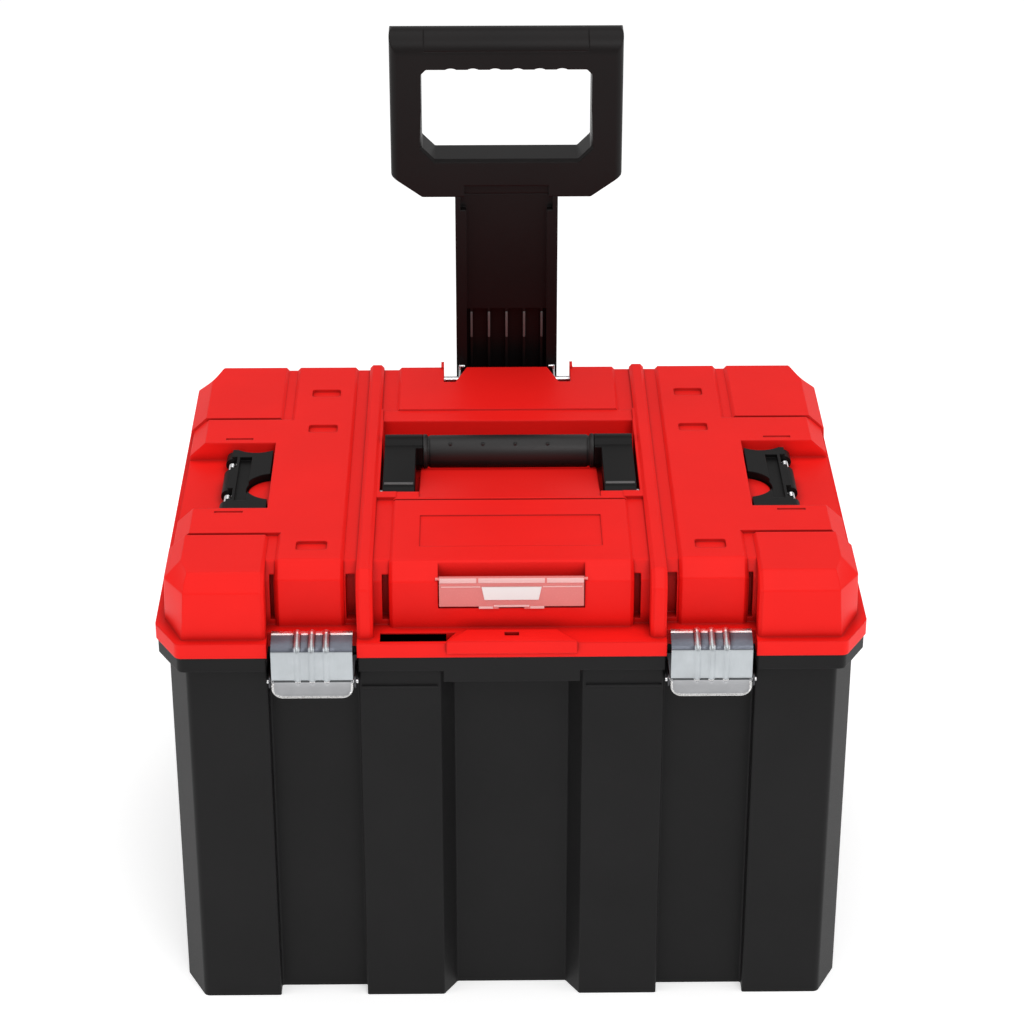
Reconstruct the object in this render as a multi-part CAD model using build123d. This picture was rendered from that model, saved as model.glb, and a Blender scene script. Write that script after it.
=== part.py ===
from build123d import *
import os

# Rolling tool box, in millimetres.
# The origin is at the middle of the tub's flat bottom. +X is to the right of a
# person facing the front, +Y points to the back and +Z points up.

# ---- driving dimensions -------------------------------------------------------------

RIM_WIDTH = 504.0            # widest part: the rim where lid and tub meet
RIM_DEPTH = 366.0
CORNER_X = 17.0              # plan chamfer of the rim's corners, across and back
CORNER_Y = 30.0
TUB_HEIGHT = 298.6
TUB_INSET = 9.8              # front and back walls of the tub stand this far inside the rim
TUB_SIDE_INSET = 7.8
HEM_Z = 286.9                # lower edge of the tub's flange
WALL = 3.2                   # moulded wall of the tub
FLOOR = 4.0
LEDGE_Z = 310.0              # top of the lid's rim
LID_TOP = 358.0
RIDGE_TOP = 360.0
SHOULDER_Z = 347.0           # the lid's sides lean in up to here, then comes the bevel
SHOULDER_X = 244.0
CROWN_X = 227.6              # half size the bevel would reach 4 mm above the top
CROWN_Y = 170.0
SIDE_STEP = 2.5              # the sides step in between the corner blocks
GROOVE_DEPTH = 2.5
GROOVE_SLOPE = 2.3           # sloped side of each long groove
LID_WALL = 3.2

BAY_CENTRE = 140.25          # the two latch bays in the front
BAY_HALF = 32.25
BAY_DEPTH = 12.5
CENTRE_BAY_OUT = 50.5        # the sloped bay in the middle of the front
CENTRE_BAY_IN = 40.5
CENTRE_BAY_DEPTH = 16.0
SIDE_EDGE = 200.0            # the front bays' edges all lie inside this
SIDE_BAY_HALF = 62.0         # shallow bays in the two sides
SIDE_BAY_DEPTH = 6.0

HINGE_Y = 169.0              # lid hinge axis
HINGE_Z = 348.0
HINGE_ROD_R = 2.5
EAR_CENTRES = (70.0, 200.0)
EAR_HALF = 4.0
EAR_R = 4.2                  # knuckle round the pin
EAR_FRONT = 162.0            # the ear's stem stands in front of the axis
EAR_BACK = 168.4

WHEEL_R = 63.5
WHEEL_WIDTH = 38.0
WHEEL_Y = 158.0
WHEEL_Z = 65.0
WHEEL_IN_X = 190.2
WELL_X = 188.0
AXLE_R = 5.0

POST_HALF = 40.0             # pull handle post: a channel open to the front
POST_FRONT = 181.0
POST_BACK = 212.0
POST_FLANGE = 8.5
POST_BOTTOM = 251.0
GRIP_HALF = 89.5
GRIP_BOTTOM = 499.0
GRIP_BAR_R = 17.0
GRIP_BAR_Y = 198.0
GRIP_BAR_Z = 614.0

LATCH_HALF = 28.6            # front latches
LATCH_PIN_Y = -181.5
LATCH_PIN_Z = 279.0

CARRY_PIVOT_Y = -33.0        # folding carry handle in the lid
CARRY_PIVOT_Z = 350.0
CARRY_GRIP_Y = 42.0
CARRY_GRIP_Z = 347.5
CARRY_ARM_OUT = 93.5
CARRY_ARM_IN = 70.0

SIDE_PIVOT_X = 207.5         # stacking latches in the lid's sides
SIDE_PIVOT_Z = 349.5
SPRING_Y = (-43.0, 8.0)
SCOOP = (173.0, -32.0)       # middle of the thumb scoop in the stacking latch
SCOOP_R = 21.0

LABEL_PIVOT_Y = -160.5       # clear label cover on the lid's front
LABEL_PIVOT_Z = 349.0

# ---- values worked out from them ----------------------------------------------------

RIM_X = RIM_WIDTH / 2
RIM_Y = RIM_DEPTH / 2
TUB_X = RIM_X - TUB_SIDE_INSET
TUB_Y = RIM_Y - TUB_INSET
LID_X = RIM_X - 6.0
LID_Y = RIM_Y - 5.0
CHAMFER = 11.0               # 45 degree bevel round the top of the lid


# ---- helpers ------------------------------------------------------------------------

def block(x0, x1, y0, y1, z0, z1):
    """A box between two corners."""
    centre = Pos((x0 + x1) / 2, (y0 + y1) / 2, (z0 + z1) / 2)
    return centre * Box(abs(x1 - x0), abs(y1 - y0), abs(z1 - z0))


def rod_x(x0, x1, y, z, r):
    """A cylinder along X."""
    return Pos((x0 + x1) / 2, y, z) * Rot(0, 90, 0) * Cylinder(r, abs(x1 - x0))


def rod_y(x, y0, y1, z, r):
    """A cylinder along Y."""
    return Pos(x, (y0 + y1) / 2, z) * Rot(90, 0, 0) * Cylinder(r, abs(y1 - y0))


def outline(points, r=0):
    """A closed outline, with its corners rounded if r is given."""
    shape = Polygon(*points, align=None)
    return fillet(shape.vertices(), r) if r else shape


def prism_z(points, z0, z1, r=0):
    """A plan outline raised from z0 to z1."""
    face = Pos(0, 0, z0) * outline(points, r)
    return extrude(face, amount=z1 - z0, dir=(0, 0, 1))


def prism_x(points, x0, x1, r=0):
    """A Y-Z outline drawn out from x0 to x1."""
    face = Pos(x0, 0, 0) * (Plane.YZ * outline(points, r))
    return extrude(face, amount=x1 - x0, dir=(1, 0, 0))


def prism_y(points, y0, y1, r=0):
    """An X-Z outline drawn out from y0 to y1."""
    face = Pos(0, y0, 0) * (Plane.XZ * outline(points, r))
    return extrude(face, amount=y1 - y0, dir=(0, 1, 0))


def octagon(half_x, half_y, cut_x=CORNER_X, cut_y=CORNER_Y):
    """Plan rectangle with its four corners cut."""
    return [
        (half_x, cut_y - half_y), (half_x, half_y - cut_y),
        (half_x - cut_x, half_y), (cut_x - half_x, half_y),
        (-half_x, half_y - cut_y), (-half_x, cut_y - half_y),
        (cut_x - half_x, -half_y), (half_x - cut_x, -half_y),
    ]


def both(shape):
    """A shape and its mirror image across X = 0."""
    return shape + mirror(shape, Plane.YZ)


def left_of(shape):
    """The left-hand copy of a right-hand shape."""
    return mirror(shape, Plane.YZ)


def save(name, shape):
    """Write one node."""
    solids = shape.solids()
    whole = solids[0] if len(solids) == 1 else Compound(children=list(solids))
    export_step(whole, "parts/" + name + ".step")


# ---- tub ----------------------------------------------------------------------------

def tub_plan(wall):
    """Plan of the tub, moved in by a wall thickness."""
    plan = outline(octagon(TUB_X, TUB_Y, 15.0, 29.5), 5.0)
    front = -TUB_Y
    for side in (-1, 1):
        x0 = side * BAY_CENTRE
        plan -= Pos(x0, front) * Rectangle(2 * BAY_HALF, 2 * BAY_DEPTH)
        plan -= Pos(side * TUB_X, 0) * Rectangle(2 * SIDE_BAY_DEPTH, 2 * SIDE_BAY_HALF)
    slope = [
        (-CENTRE_BAY_OUT, front - 1), (-CENTRE_BAY_OUT, front),
        (-CENTRE_BAY_IN, front + CENTRE_BAY_DEPTH), (CENTRE_BAY_IN, front + CENTRE_BAY_DEPTH),
        (CENTRE_BAY_OUT, front), (CENTRE_BAY_OUT, front - 1),
    ]
    plan -= Polygon(*slope, align=None)
    if wall:
        return offset(plan, amount=-wall, kind=Kind.INTERSECTION)
    corners = [v for v in plan.vertices() if abs(v.X) < SIDE_EDGE and v.Y < 0]
    return fillet(corners, 1.5)


def wheel_well(gap, inner_x):
    """Space of the right wheel, grown by a gap."""
    r = WHEEL_R + gap
    out = RIM_X + 5
    well = rod_x(inner_x, out, WHEEL_Y, WHEEL_Z, r)
    well += block(inner_x, out, WHEEL_Y - r, RIM_Y + 5, -5, WHEEL_Z)
    well += block(inner_x, out, WHEEL_Y, RIM_Y + 5, -5, WHEEL_Z + r)
    return well


def hinge_ears():
    """Ears that stand up from the back wall and hold the hinge pins."""
    ears = None
    for x in EAR_CENTRES:
        ear = block(x - EAR_HALF, x + EAR_HALF, EAR_FRONT, EAR_BACK, 270, HINGE_Z)
        ear += block(x - EAR_HALF, x + EAR_HALF, EAR_FRONT, TUB_Y - 1, 262, 298)
        ear += rod_x(x - EAR_HALF, x + EAR_HALF, HINGE_Y, HINGE_Z, EAR_R)
        ears = ear if ears is None else ears + ear
    return both(ears)


SCREW_X = 55.0
SCREW_Z = (80.0, 175.0, 270.0)


def housing_screw_places():
    """Where the six housing screws sit."""
    return [(side * SCREW_X, z) for side in (-1, 1) for z in SCREW_Z]


def make_tub():
    shell = extrude(tub_plan(0), amount=TUB_HEIGHT)
    cavity = extrude(Pos(0, 0, FLOOR) * tub_plan(WALL), amount=TUB_HEIGHT)
    cavity -= both(wheel_well(3.6 + WALL, WELL_X - WALL))

    # Flange round the top: a flat lip with a skirt that hangs from its edge
    inset = 1.2
    rim = prism_z(octagon(RIM_X - inset, RIM_Y - inset), HEM_Z, TUB_HEIGHT, 6.0)
    rim -= prism_z(octagon(RIM_X - inset - 2.8, RIM_Y - inset - 2.8), HEM_Z, TUB_HEIGHT - 3, 4.0)
    rim += block(-48, 48, -RIM_Y + inset, -RIM_Y + inset + 2.8, 278.0, HEM_Z)
    rim -= both(block(BAY_CENTRE - 32.5, BAY_CENTRE + 32.5, -RIM_Y, -160, 270, 301))
    rim -= block(-50, 50, TUB_Y, RIM_Y, 270, 301)
    tub = shell + rim - cavity

    # Bead under the flange on the two pillars beside the middle bay
    pillar = (CENTRE_BAY_OUT + BAY_CENTRE - BAY_HALF) / 2
    half = (BAY_CENTRE - BAY_HALF - CENTRE_BAY_OUT) / 2 - 2
    tub += both(block(pillar - half, pillar + half, -TUB_Y - 1.2, -TUB_Y, 268.5, 270.5))

    # Wheel wells and the bosses that hold the stub axles
    tub -= both(wheel_well(3.6, WELL_X))
    tub += both(rod_x(148.5, WELL_X, WHEEL_Y - 4, WHEEL_Z, 11.0) & block(140, WELL_X, 0, 172, 0, 200))
    tub -= both(rod_x(140, WELL_X + 1, WHEEL_Y, WHEEL_Z, AXLE_R + 0.02))

    # Hinge ears, screw bosses and rivet holes
    tub += hinge_ears()
    tub -= rod_x(-RIM_X, RIM_X, HINGE_Y, HINGE_Z, HINGE_ROD_R + 0.02)
    for x, z in housing_screw_places():
        tub += rod_y(x, 158, TUB_Y - 1, z, 4.5)
        tub -= rod_y(x, 159.5, TUB_Y + 1, z, 1.95)
    for side in (-1, 1):
        for dx in (-18, 18):
            tub -= rod_y(side * BAY_CENTRE + dx, -170, -150, LATCH_PIN_Z, 2.02)
    return tub


# ---- wheels -------------------------------------------------------------------------

def make_tyre():
    """Right-hand tyre: a rounded tread with three grooves."""
    x0 = WHEEL_IN_X
    x1 = x0 + WHEEL_WIDTH
    profile = [
        (x0 + 2, 47), (x0, 49), (x0, WHEEL_R - 7), (x0 + 4, WHEEL_R - 1.5), (x0 + 9, WHEEL_R),
        (x1 - 9, WHEEL_R), (x1 - 4, WHEEL_R - 1.5), (x1, WHEEL_R - 7), (x1, 49), (x1 - 2, 47),
    ]
    face = Polygon(*profile, align=None)
    middle = (x0 + x1) / 2
    for dx in (-8, 0, 8):
        face -= Pos(middle + dx, WHEEL_R) * Rectangle(2.4, 4)
    ring = revolve(face, Axis.X)
    return Pos(0, WHEEL_Y, WHEEL_Z) * ring


def make_hub():
    """Right-hand wheel hub with rim, web, boss and spokes."""
    x0 = WHEEL_IN_X
    x1 = x0 + WHEEL_WIDTH
    middle = (x0 + x1) / 2
    rim = rod_x(x0 + 2, x1 - 2, 0, 0, 47) - rod_x(x0, x1, 0, 0, 42.5)
    web = rod_x(middle - 3, middle + 3, 0, 0, 43)
    for i in range(5):
        web -= Rot(72 * i, 0, 0) * rod_x(x0, x1, 0, 28, 7.5)
    boss = rod_x(x0, x1, 0, 0, 13)
    spokes = None
    for i in range(5):
        spoke = Rot(72 * i + 36, 0, 0) * block(x0 + 5, x1 - 5, -2.2, 2.2, 11, 43.5)
        spokes = spoke if spokes is None else spokes + spoke
    hub = rim + web + boss + spokes
    hub -= rod_x(x0 - 1, x1 + 1, 0, 0, AXLE_R + 0.06)
    return Pos(0, WHEEL_Y, WHEEL_Z) * hub


def make_axle():
    """Right-hand stub axle with a domed head outside the wheel."""
    head_x = WHEEL_IN_X + WHEEL_WIDTH + 0.6
    axle = rod_x(144.0, head_x, WHEEL_Y, WHEEL_Z, AXLE_R)
    axle += rod_x(head_x, head_x + 3, WHEEL_Y, WHEEL_Z, 11)
    axle += rod_x(head_x + 3, head_x + 4.5, WHEEL_Y, WHEEL_Z, 9)
    return axle


def make_washer():
    x0 = WELL_X + 0.2
    washer = rod_x(x0, x0 + 1.6, WHEEL_Y, WHEEL_Z, 11)
    return washer - rod_x(x0 - 1, x0 + 3, WHEEL_Y, WHEEL_Z, AXLE_R + 0.05)


def make_axle_nut():
    """Push nut on the inner end of the stub axle."""
    nut = rod_x(145.2, 148.3, WHEEL_Y, WHEEL_Z, 9)
    return nut - rod_x(140, 150, WHEEL_Y, WHEEL_Z, AXLE_R + 0.02)


# ---- telescopic pull handle and its housing -----------------------------------------

HOUSING_TOP = 299.5
HOUSING_BOTTOM = 62.0
HOUSING_BACK = 217.0
GUIDE_BOTTOM = 281.0


def make_housing():
    """Channel on the tub's back, with a flange down each side."""
    y0 = TUB_Y
    housing = block(-48, 48, y0, HOUSING_BACK, HOUSING_BOTTOM, HOUSING_TOP)
    housing += block(-62, 62, y0, y0 + 3.5, HOUSING_BOTTOM, 286)
    housing -= block(-42, 42, y0 - 1, HOUSING_BACK - 3, HOUSING_BOTTOM + 4, HOUSING_TOP + 1)
    housing -= block(-8, 8, 190, 205, HOUSING_BOTTOM - 1, HOUSING_BOTTOM + 5)
    for x in (-24, 0, 24):
        housing += block(x - 2, x + 2, HOUSING_BACK, HOUSING_BACK + 2, 80, 275)
    for x, z in housing_screw_places():
        housing -= rod_y(x, y0 - 1, y0 + 5, z, 2.2)
    return housing


def make_guide():
    """Bearing collar at the mouth of the housing."""
    guide = block(-41.9, 41.9, TUB_Y + 0.2, HOUSING_BACK - 3.1, GUIDE_BOTTOM, HOUSING_TOP)
    gap = 0.4
    guide -= block(-POST_HALF - gap, POST_HALF + gap, POST_FRONT - gap, POST_BACK + gap, 270, 310)
    return guide


def make_housing_screws():
    screws = None
    for x, z in housing_screw_places():
        y0 = TUB_Y + 3.5
        screw = rod_y(x, 160.5, y0 + 1, z, 1.9)
        screw += rod_y(x, y0, y0 + 2.4, z, 4.0)
        screw -= block(x - 2.5, x + 2.5, y0 + 1.2, y0 + 5, z - 0.5, z + 0.5)
        screw -= block(x - 0.5, x + 0.5, y0 + 1.2, y0 + 5, z - 2.5, z + 2.5)
        screws = screw if screws is None else screws + screw
    return screws


def make_detent_springs():
    """Two leaf springs behind the post's flanges."""
    leaf = block(31.5, 38, POST_BACK + 0.5, POST_BACK + 1.3, 205, 280.8)
    leaf += block(31.5, 38, POST_BACK + 0.5, POST_BACK + 1.9, 272, 280.8)
    return both(leaf)


RIB_TOP = 405.0
WEB_FRONT = 188.0
WEB = 4.0


def make_post():
    """Channel post: two deep flanges, a smooth upper web and a ribbed lower web."""
    inner = POST_HALF - POST_FLANGE
    post = both(block(inner, POST_HALF, POST_FRONT, POST_BACK, POST_BOTTOM, GRIP_BOTTOM))
    post += block(-inner, inner, WEB_FRONT, WEB_FRONT + WEB, RIB_TOP - 4, GRIP_BOTTOM)
    set_back = WEB_FRONT + 9
    post += block(-inner, inner, set_back, set_back + WEB, POST_BOTTOM, RIB_TOP)
    post += block(-inner, inner, WEB_FRONT, set_back + WEB, RIB_TOP - 4, RIB_TOP)
    for i in range(-2, 3):
        x = 14.0 * i
        post += block(x - 1.1, x + 1.1, WEB_FRONT, set_back, POST_BOTTOM, RIB_TOP)
        post += block(x - 1.1, x + 1.1, WEB_FRONT + WEB, POST_BACK - 2, RIB_TOP, GRIP_BOTTOM)
    # Tenon that goes up into the grip
    post += block(-27, 27, 192, 206, GRIP_BOTTOM - 6, GRIP_BOTTOM + 20)
    # Sunk neck below the grip
    post -= block(-36, 36, POST_FRONT - 1, WEB_FRONT, 488, GRIP_BOTTOM + 1)
    # Detent dimples on the backs of the flanges
    for z in (POST_BOTTOM + 12, GRIP_BOTTOM - 40):
        post -= both(rod_x(30, 40, POST_BACK + 1.5, z, 2.5))
    for side in (-1, 1):
        post -= rod_y(side * 18, 195, 207, GRIP_BOTTOM + 10, 1.95)
    return post


def grip_insert_space(gap):
    """Upper sleeve of the grip bar, between the two seams, grown by a gap."""
    end = 63 + gap
    sleeve = rod_x(-end, end, GRIP_BAR_Y, GRIP_BAR_Z, GRIP_BAR_R + gap)
    sleeve -= rod_x(-end, end, GRIP_BAR_Y, GRIP_BAR_Z, GRIP_BAR_R - 3 - gap)
    return sleeve & block(-end, end, 150, 250, GRIP_BAR_Z + 3 - gap, 700)


def make_grip():
    """D-shaped grip: round bar, two legs and a chamfered lower bar."""
    y0 = GRIP_BAR_Y - GRIP_BAR_R
    y1 = GRIP_BAR_Y + GRIP_BAR_R
    top = GRIP_BAR_Z + GRIP_BAR_R
    middle = (GRIP_BOTTOM - 5 + GRIP_BAR_Z) / 2
    profile = Pos(GRIP_BAR_Y, middle) * Rectangle(2 * GRIP_BAR_R, GRIP_BAR_Z - GRIP_BOTTOM + 5)
    profile += Pos(GRIP_BAR_Y, GRIP_BAR_Z) * Circle(GRIP_BAR_R)
    face = Pos(-GRIP_HALF - 1, 0, 0) * (Plane.YZ * profile)
    grip = extrude(face, amount=2 * GRIP_HALF + 2, dir=(1, 0, 0))
    edge = [
        (-65.5, GRIP_BOTTOM), (65.5, GRIP_BOTTOM), (GRIP_HALF, GRIP_BOTTOM + 17), (GRIP_HALF, top + 0.01),
        (-GRIP_HALF, top + 0.01), (-GRIP_HALF, GRIP_BOTTOM + 17),
    ]
    grip &= prism_y(edge, y0 - 1, y1 + 1, 3.0)
    section = [(-GRIP_HALF, y0), (GRIP_HALF, y0), (GRIP_HALF, y1), (-GRIP_HALF, y1)]
    grip &= prism_z(section, GRIP_BOTTOM - 1, top + 1, 6.0)
    low = GRIP_BOTTOM + 30
    high = GRIP_BAR_Z - 11.5
    hole = [
        (-55.5, low), (55.5, low), (65.5, low + 10), (65.5, high - 4), (61.5, high),
        (-61.5, high), (-65.5, high - 4), (-65.5, low + 10),
    ]
    grip -= prism_y(hole, y0 - 1, y1 + 1, 2.0)
    # Shallow finger scallops under the bar
    for i in range(6):
        grip -= rod_y(17.0 * (i - 2.5), y0 - 1, y1 + 1, high + 1.1 - 9, 9)
    # Bevel round the front of the hole
    end = high - 34
    flare = [(-56, low - 1.5), (56, low - 1.5), (67, low + 9.5), (65.7, end), (-65.7, end), (-67, low + 9.5)]
    back = [(-55.5, low), (55.5, low), (65.5, low + 10), (65.5, end), (-65.5, end), (-65.5, low + 10)]
    front_face = Pos(0, y0, 0) * (Plane.XZ * Polygon(*flare, align=None))
    back_face = Pos(0, y0 + 4, 0) * (Plane.XZ * Polygon(*back, align=None))
    grip -= loft([front_face.face(), back_face.face()], ruled=True)
    grip -= block(-33, 33, y0 - 1, y0 + 7, GRIP_BOTTOM - 1, GRIP_BOTTOM + 9)
    grip -= block(-27, 27, 192, 206, GRIP_BOTTOM - 1, GRIP_BOTTOM + 20)
    for side in (-1, 1):
        grip -= rod_y(side * 18, 205, y1 + 1, GRIP_BOTTOM + 10, 2.1)
        grip -= rod_y(side * 18, y1 - 3, y1 + 1, GRIP_BOTTOM + 10, 4.2)
    return grip - grip_insert_space(0.02)


def make_grip_screws():
    screws = None
    y1 = GRIP_BAR_Y + GRIP_BAR_R
    for side in (-1, 1):
        screw = rod_y(side * 18, 196, y1 - 2, GRIP_BOTTOM + 10, 1.9)
        screw += rod_y(side * 18, y1 - 2.9, y1 - 0.6, GRIP_BOTTOM + 10, 4.0)
        screw -= block(side * 18 - 2.5, side * 18 + 2.5, y1 - 1.8, y1, GRIP_BOTTOM + 9.5, GRIP_BOTTOM + 10.5)
        screws = screw if screws is None else screws + screw
    return screws


# ---- front latches ------------------------------------------------------------------

def make_latch():
    """Right-hand stamped latch: top lip, ribbed face and finger lip."""
    x0 = BAY_CENTRE - LATCH_HALF
    x1 = BAY_CENTRE + LATCH_HALF
    outside = [
        (-168.8, 312.2), (-181.8, 308.6), (-186.2, 303.8), (-186.2, 282.6),
        (-184.9, 281.2), (-187.4, 268.4),
    ]
    inside = [
        (-185.8, 268.1), (-183.3, 281.6), (-184.6, 283.2), (-184.6, 303.2), (-181.2, 307.0), (-168.8, 310.5),
    ]
    latch = prism_x(outside + inside, x0, x1)
    # Rounded corners of the finger lip
    for side in (-1, 1):
        corner = BAY_CENTRE + side * LATCH_HALF
        square = block(corner, corner - side * 8, -195, -180, 260, 276)
        latch -= square - rod_y(corner - side * 8, -196, -179, 276, 8)
    # Three stamped ribs that run over the bend
    for i in (-1, 0, 1):
        x = BAY_CENTRE + 10.2 * i
        rib = Pos(x, -185.6, 281.5) * Cylinder(2.5, 23.5, align=(Align.CENTER, Align.CENTER, Align.MIN))
        rib += Pos(x, -185.6, 281.5) * Cone(0.4, 2.5, 5, align=(Align.CENTER, Align.CENTER, Align.MAX))
        top = prism_x([(-186.6, 303.0), (-182.6, 309.6), (-169.6, 313.2), (-169.6, 311.2), (-181, 308)], x - 2.2, x + 2.2)
        latch += (rib + top) & block(x - 4, x + 4, -189, -168, 276, 315)
        latch -= block(x - 4, x + 4, -184.55, -182.0, 284, 302.5)
    # Side ears that hang on the pin
    for side in (-1, 1):
        a = BAY_CENTRE + side * LATCH_HALF
        b = a - side * 1.5
        ear = block(a, b, -185, LATCH_PIN_Y + 3.2, LATCH_PIN_Z - 3.4, LATCH_PIN_Z + 4.5)
        latch += ear
    latch -= rod_x(x0 - 1, x1 + 1, LATCH_PIN_Y, LATCH_PIN_Z, 1.56)
    return latch


def make_latch_bracket():
    """Right-hand bracket, riveted into the tub's bay."""
    face = -TUB_Y + BAY_DEPTH
    out = BAY_HALF - 1.6
    bracket = block(BAY_CENTRE - out, BAY_CENTRE + out, face - 1.5, face, LATCH_PIN_Z - 10, LATCH_PIN_Z + 10)
    for side in (-1, 1):
        a = BAY_CENTRE + side * out
        b = a - side * 1.4
        bracket += block(a, b, LATCH_PIN_Y, face, LATCH_PIN_Z - 5, LATCH_PIN_Z + 5)
        bracket += rod_x(min(a, b), max(a, b), LATCH_PIN_Y, LATCH_PIN_Z, 5)
    for dx in (-18, 18):
        bracket -= rod_y(BAY_CENTRE + dx, -170, -150, LATCH_PIN_Z, 2.02)
    return bracket - rod_x(BAY_CENTRE - 40, BAY_CENTRE + 40, LATCH_PIN_Y, LATCH_PIN_Z, 1.52)


def make_latch_pin():
    out = BAY_HALF - 0.1
    return rod_x(BAY_CENTRE - out, BAY_CENTRE + out, LATCH_PIN_Y, LATCH_PIN_Z, 1.5)


def make_latch_rivets():
    face = -TUB_Y + BAY_DEPTH
    rivets = None
    for dx in (-18, 18):
        rivet = rod_y(BAY_CENTRE + dx, face - 2, face + WALL + 0.5, LATCH_PIN_Z, 2.0)
        rivet += rod_y(BAY_CENTRE + dx, face - 3, face - 1.5, LATCH_PIN_Z, 3.6)
        rivet += rod_y(BAY_CENTRE + dx, face + WALL, face + WALL + 1.4, LATCH_PIN_Z, 3.4)
        rivets = rivet if rivets is None else rivets + rivet
    return rivets


# ---- lid ----------------------------------------------------------------------------

BACK_TOP_Y = 172.0           # back edge of the lid's top
FRONT_BLOCK_Y = -110.0       # back edge of the front corner blocks
BACK_BLOCK_Y = 80.0          # front edge of the rear corner blocks
RECESS_HALF = 95.5           # carry handle recess
RECESS_FRONT = -53.0
RECESS_BACK = 76.0
NOTCH_HALF = 50.0            # notch in front of the pull handle's post
NOTCH_FRONT = 144.0
NOTCH_FLOOR = 325.0
SIDE_RECESS_X = 176.0
SIDE_RECESS = (-69.0, 37.0)
SIDE_FLOOR = 343.4
CREVICES = ((86.5, 91.0), (110.0, 116.5), (167.0, 170.0))   # deep slots in the front, in X
CREVICE_BACK = -147.0
CREVICE_LOW = 314.0
CREVICE_HIGH = 348.0


def lid_run(x0, x1, face, top, sloped=()):
    """One front-to-back strip of the lid; its sides slope at the X values in sloped."""
    profile = [
        (face, TUB_HEIGHT), (face + 0.6, top - CHAMFER), (face + 0.6 + CHAMFER, top), (BACK_TOP_Y, top),
        (LID_Y - 0.8, top - 8), (LID_Y, TUB_HEIGHT),
    ]
    run = prism_x(profile, x0, x1, 3.0)
    for x in sloped:
        run = chamfer([e for e in run.edges() if abs(e.center().X - x) < 0.01], GROOVE_SLOPE)
    return run


def envelope(inset, drop):
    """The lid's octagonal form, moved in and down: leaning sides, then a bevel."""
    foot = octagon(LID_X - inset, LID_Y + 1 - inset, 15.5, 34.0)
    shoulder = octagon(SHOULDER_X - inset, LID_Y + 1 - inset, 16.7, 26.0)
    crown = octagon(CROWN_X - inset, CROWN_Y - inset, 4.0, 26.0)
    stages = [
        (TUB_HEIGHT, foot), (LEDGE_Z, foot), (SHOULDER_Z - drop, shoulder), (LID_TOP + 4 - drop, crown),
    ]
    faces = [(Pos(0, 0, z) * outline(points, 5.0)).face() for z, points in stages]
    return loft(faces, ruled=True)


def lid_outside():
    """The lid's outer form before anything is sunk into it."""
    low = LID_TOP - GROOVE_DEPTH
    ridge_in = 97.3
    ridge_out = 108.6
    strip_in = 117.8
    strip_out = 166.2
    block_in = 172.8
    panel = 86.0
    right = lid_run(-0.1, panel, -161, LID_TOP - 0.3, [panel])
    right += lid_run(panel - 3, ridge_in + 3, -156, low)
    right += lid_run(ridge_in, ridge_out, -177, RIDGE_TOP, [ridge_in, ridge_out])
    right += lid_run(ridge_out - 3, strip_in + 3, -155, low)
    right += lid_run(strip_in, strip_out, -158, LID_TOP, [strip_in, strip_out])
    right += lid_run(strip_out - 3, block_in + 3, -155, low)
    right += lid_run(block_in, LID_X + 5, -177, LID_TOP, [block_in])
    right += block(strip_out - 3, block_in + 3, FRONT_BLOCK_Y + 3, BACK_BLOCK_Y - 3, 340, LID_TOP)
    right += block(panel - 3, ridge_in + 3, RECESS_FRONT, 94.5, 340, LID_TOP)
    body = both(right)
    # Low strip behind the carry handle, and a fine groove in front of it
    body -= block(-96, 96, RECESS_BACK, 94.5, LID_TOP - 1.5, 370)
    body -= block(-96, 96, -57.5, -55.5, LID_TOP - 1.8, 370)
    body &= envelope(0, 0)
    # The sides stand in by a small step between the corner blocks
    inner = envelope(SIDE_STEP, 0)
    between = both(block(200, 262, FRONT_BLOCK_Y + 3, BACK_BLOCK_Y - 3, LEDGE_Z, 372))
    body -= between - inner
    # A groove behind each front block and before each rear block, down over the bevel
    for y in (FRONT_BLOCK_Y, BACK_BLOCK_Y - 3):
        trench = both(block(block_in, 262, y, y + 3, 330, 372))
        body -= trench - (envelope(GROOVE_DEPTH, 0) & block(-262, 262, y, y + 3, 300, low))
    return body


def make_rim():
    """Rim round the lid's foot, with the padlock tab and the latch cut-outs."""
    rim = prism_z(octagon(RIM_X, RIM_Y), TUB_HEIGHT, LEDGE_Z, 6.0)
    tab = [(-46, -RIM_Y - 2), (46, -RIM_Y - 2), (31.5, -168), (-31.5, -168)]
    rim += prism_z(tab, TUB_HEIGHT + 4, LEDGE_Z + 2.5)
    return rim


def carry_recess(grow):
    """Space sunk for the carry handle; grow adds the wall round it."""
    main = [
        (RECESS_FRONT - grow, 372), (RECESS_FRONT - grow, 357.5 - grow), (24 - grow * 0.8, 341 - grow),
        (30 - grow * 0.8, 326 - grow), (RECESS_BACK + grow, 324 - grow), (RECESS_BACK + grow, 372),
    ]
    space = prism_x(main, -66.5 - grow, 66.5 + grow)
    pocket = block(66.4 - grow, RECESS_HALF + grow, -44 - grow, RECESS_BACK + grow, 333.5 - grow, 372)
    return space + both(pocket)


def side_recess(grow):
    """Space for the right-hand stacking latch, open to the side."""
    y0, y1 = SIDE_RECESS
    return block(SIDE_RECESS_X - grow, RIM_X + 5, y0 - grow, y1 + grow, SIDE_FLOOR - grow, 372)


def ear_pocket(x):
    """Room in the lid round one hinge ear, open below and behind for the swing."""
    half = EAR_HALF + 1.2
    pocket = block(x - half, x + half, EAR_FRONT - 0.7, RIM_Y + 5, TUB_HEIGHT - 1, HINGE_Z)
    pocket += rod_x(x - half, x + half, HINGE_Y, HINGE_Z, EAR_R + 0.6)
    return pocket


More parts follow.
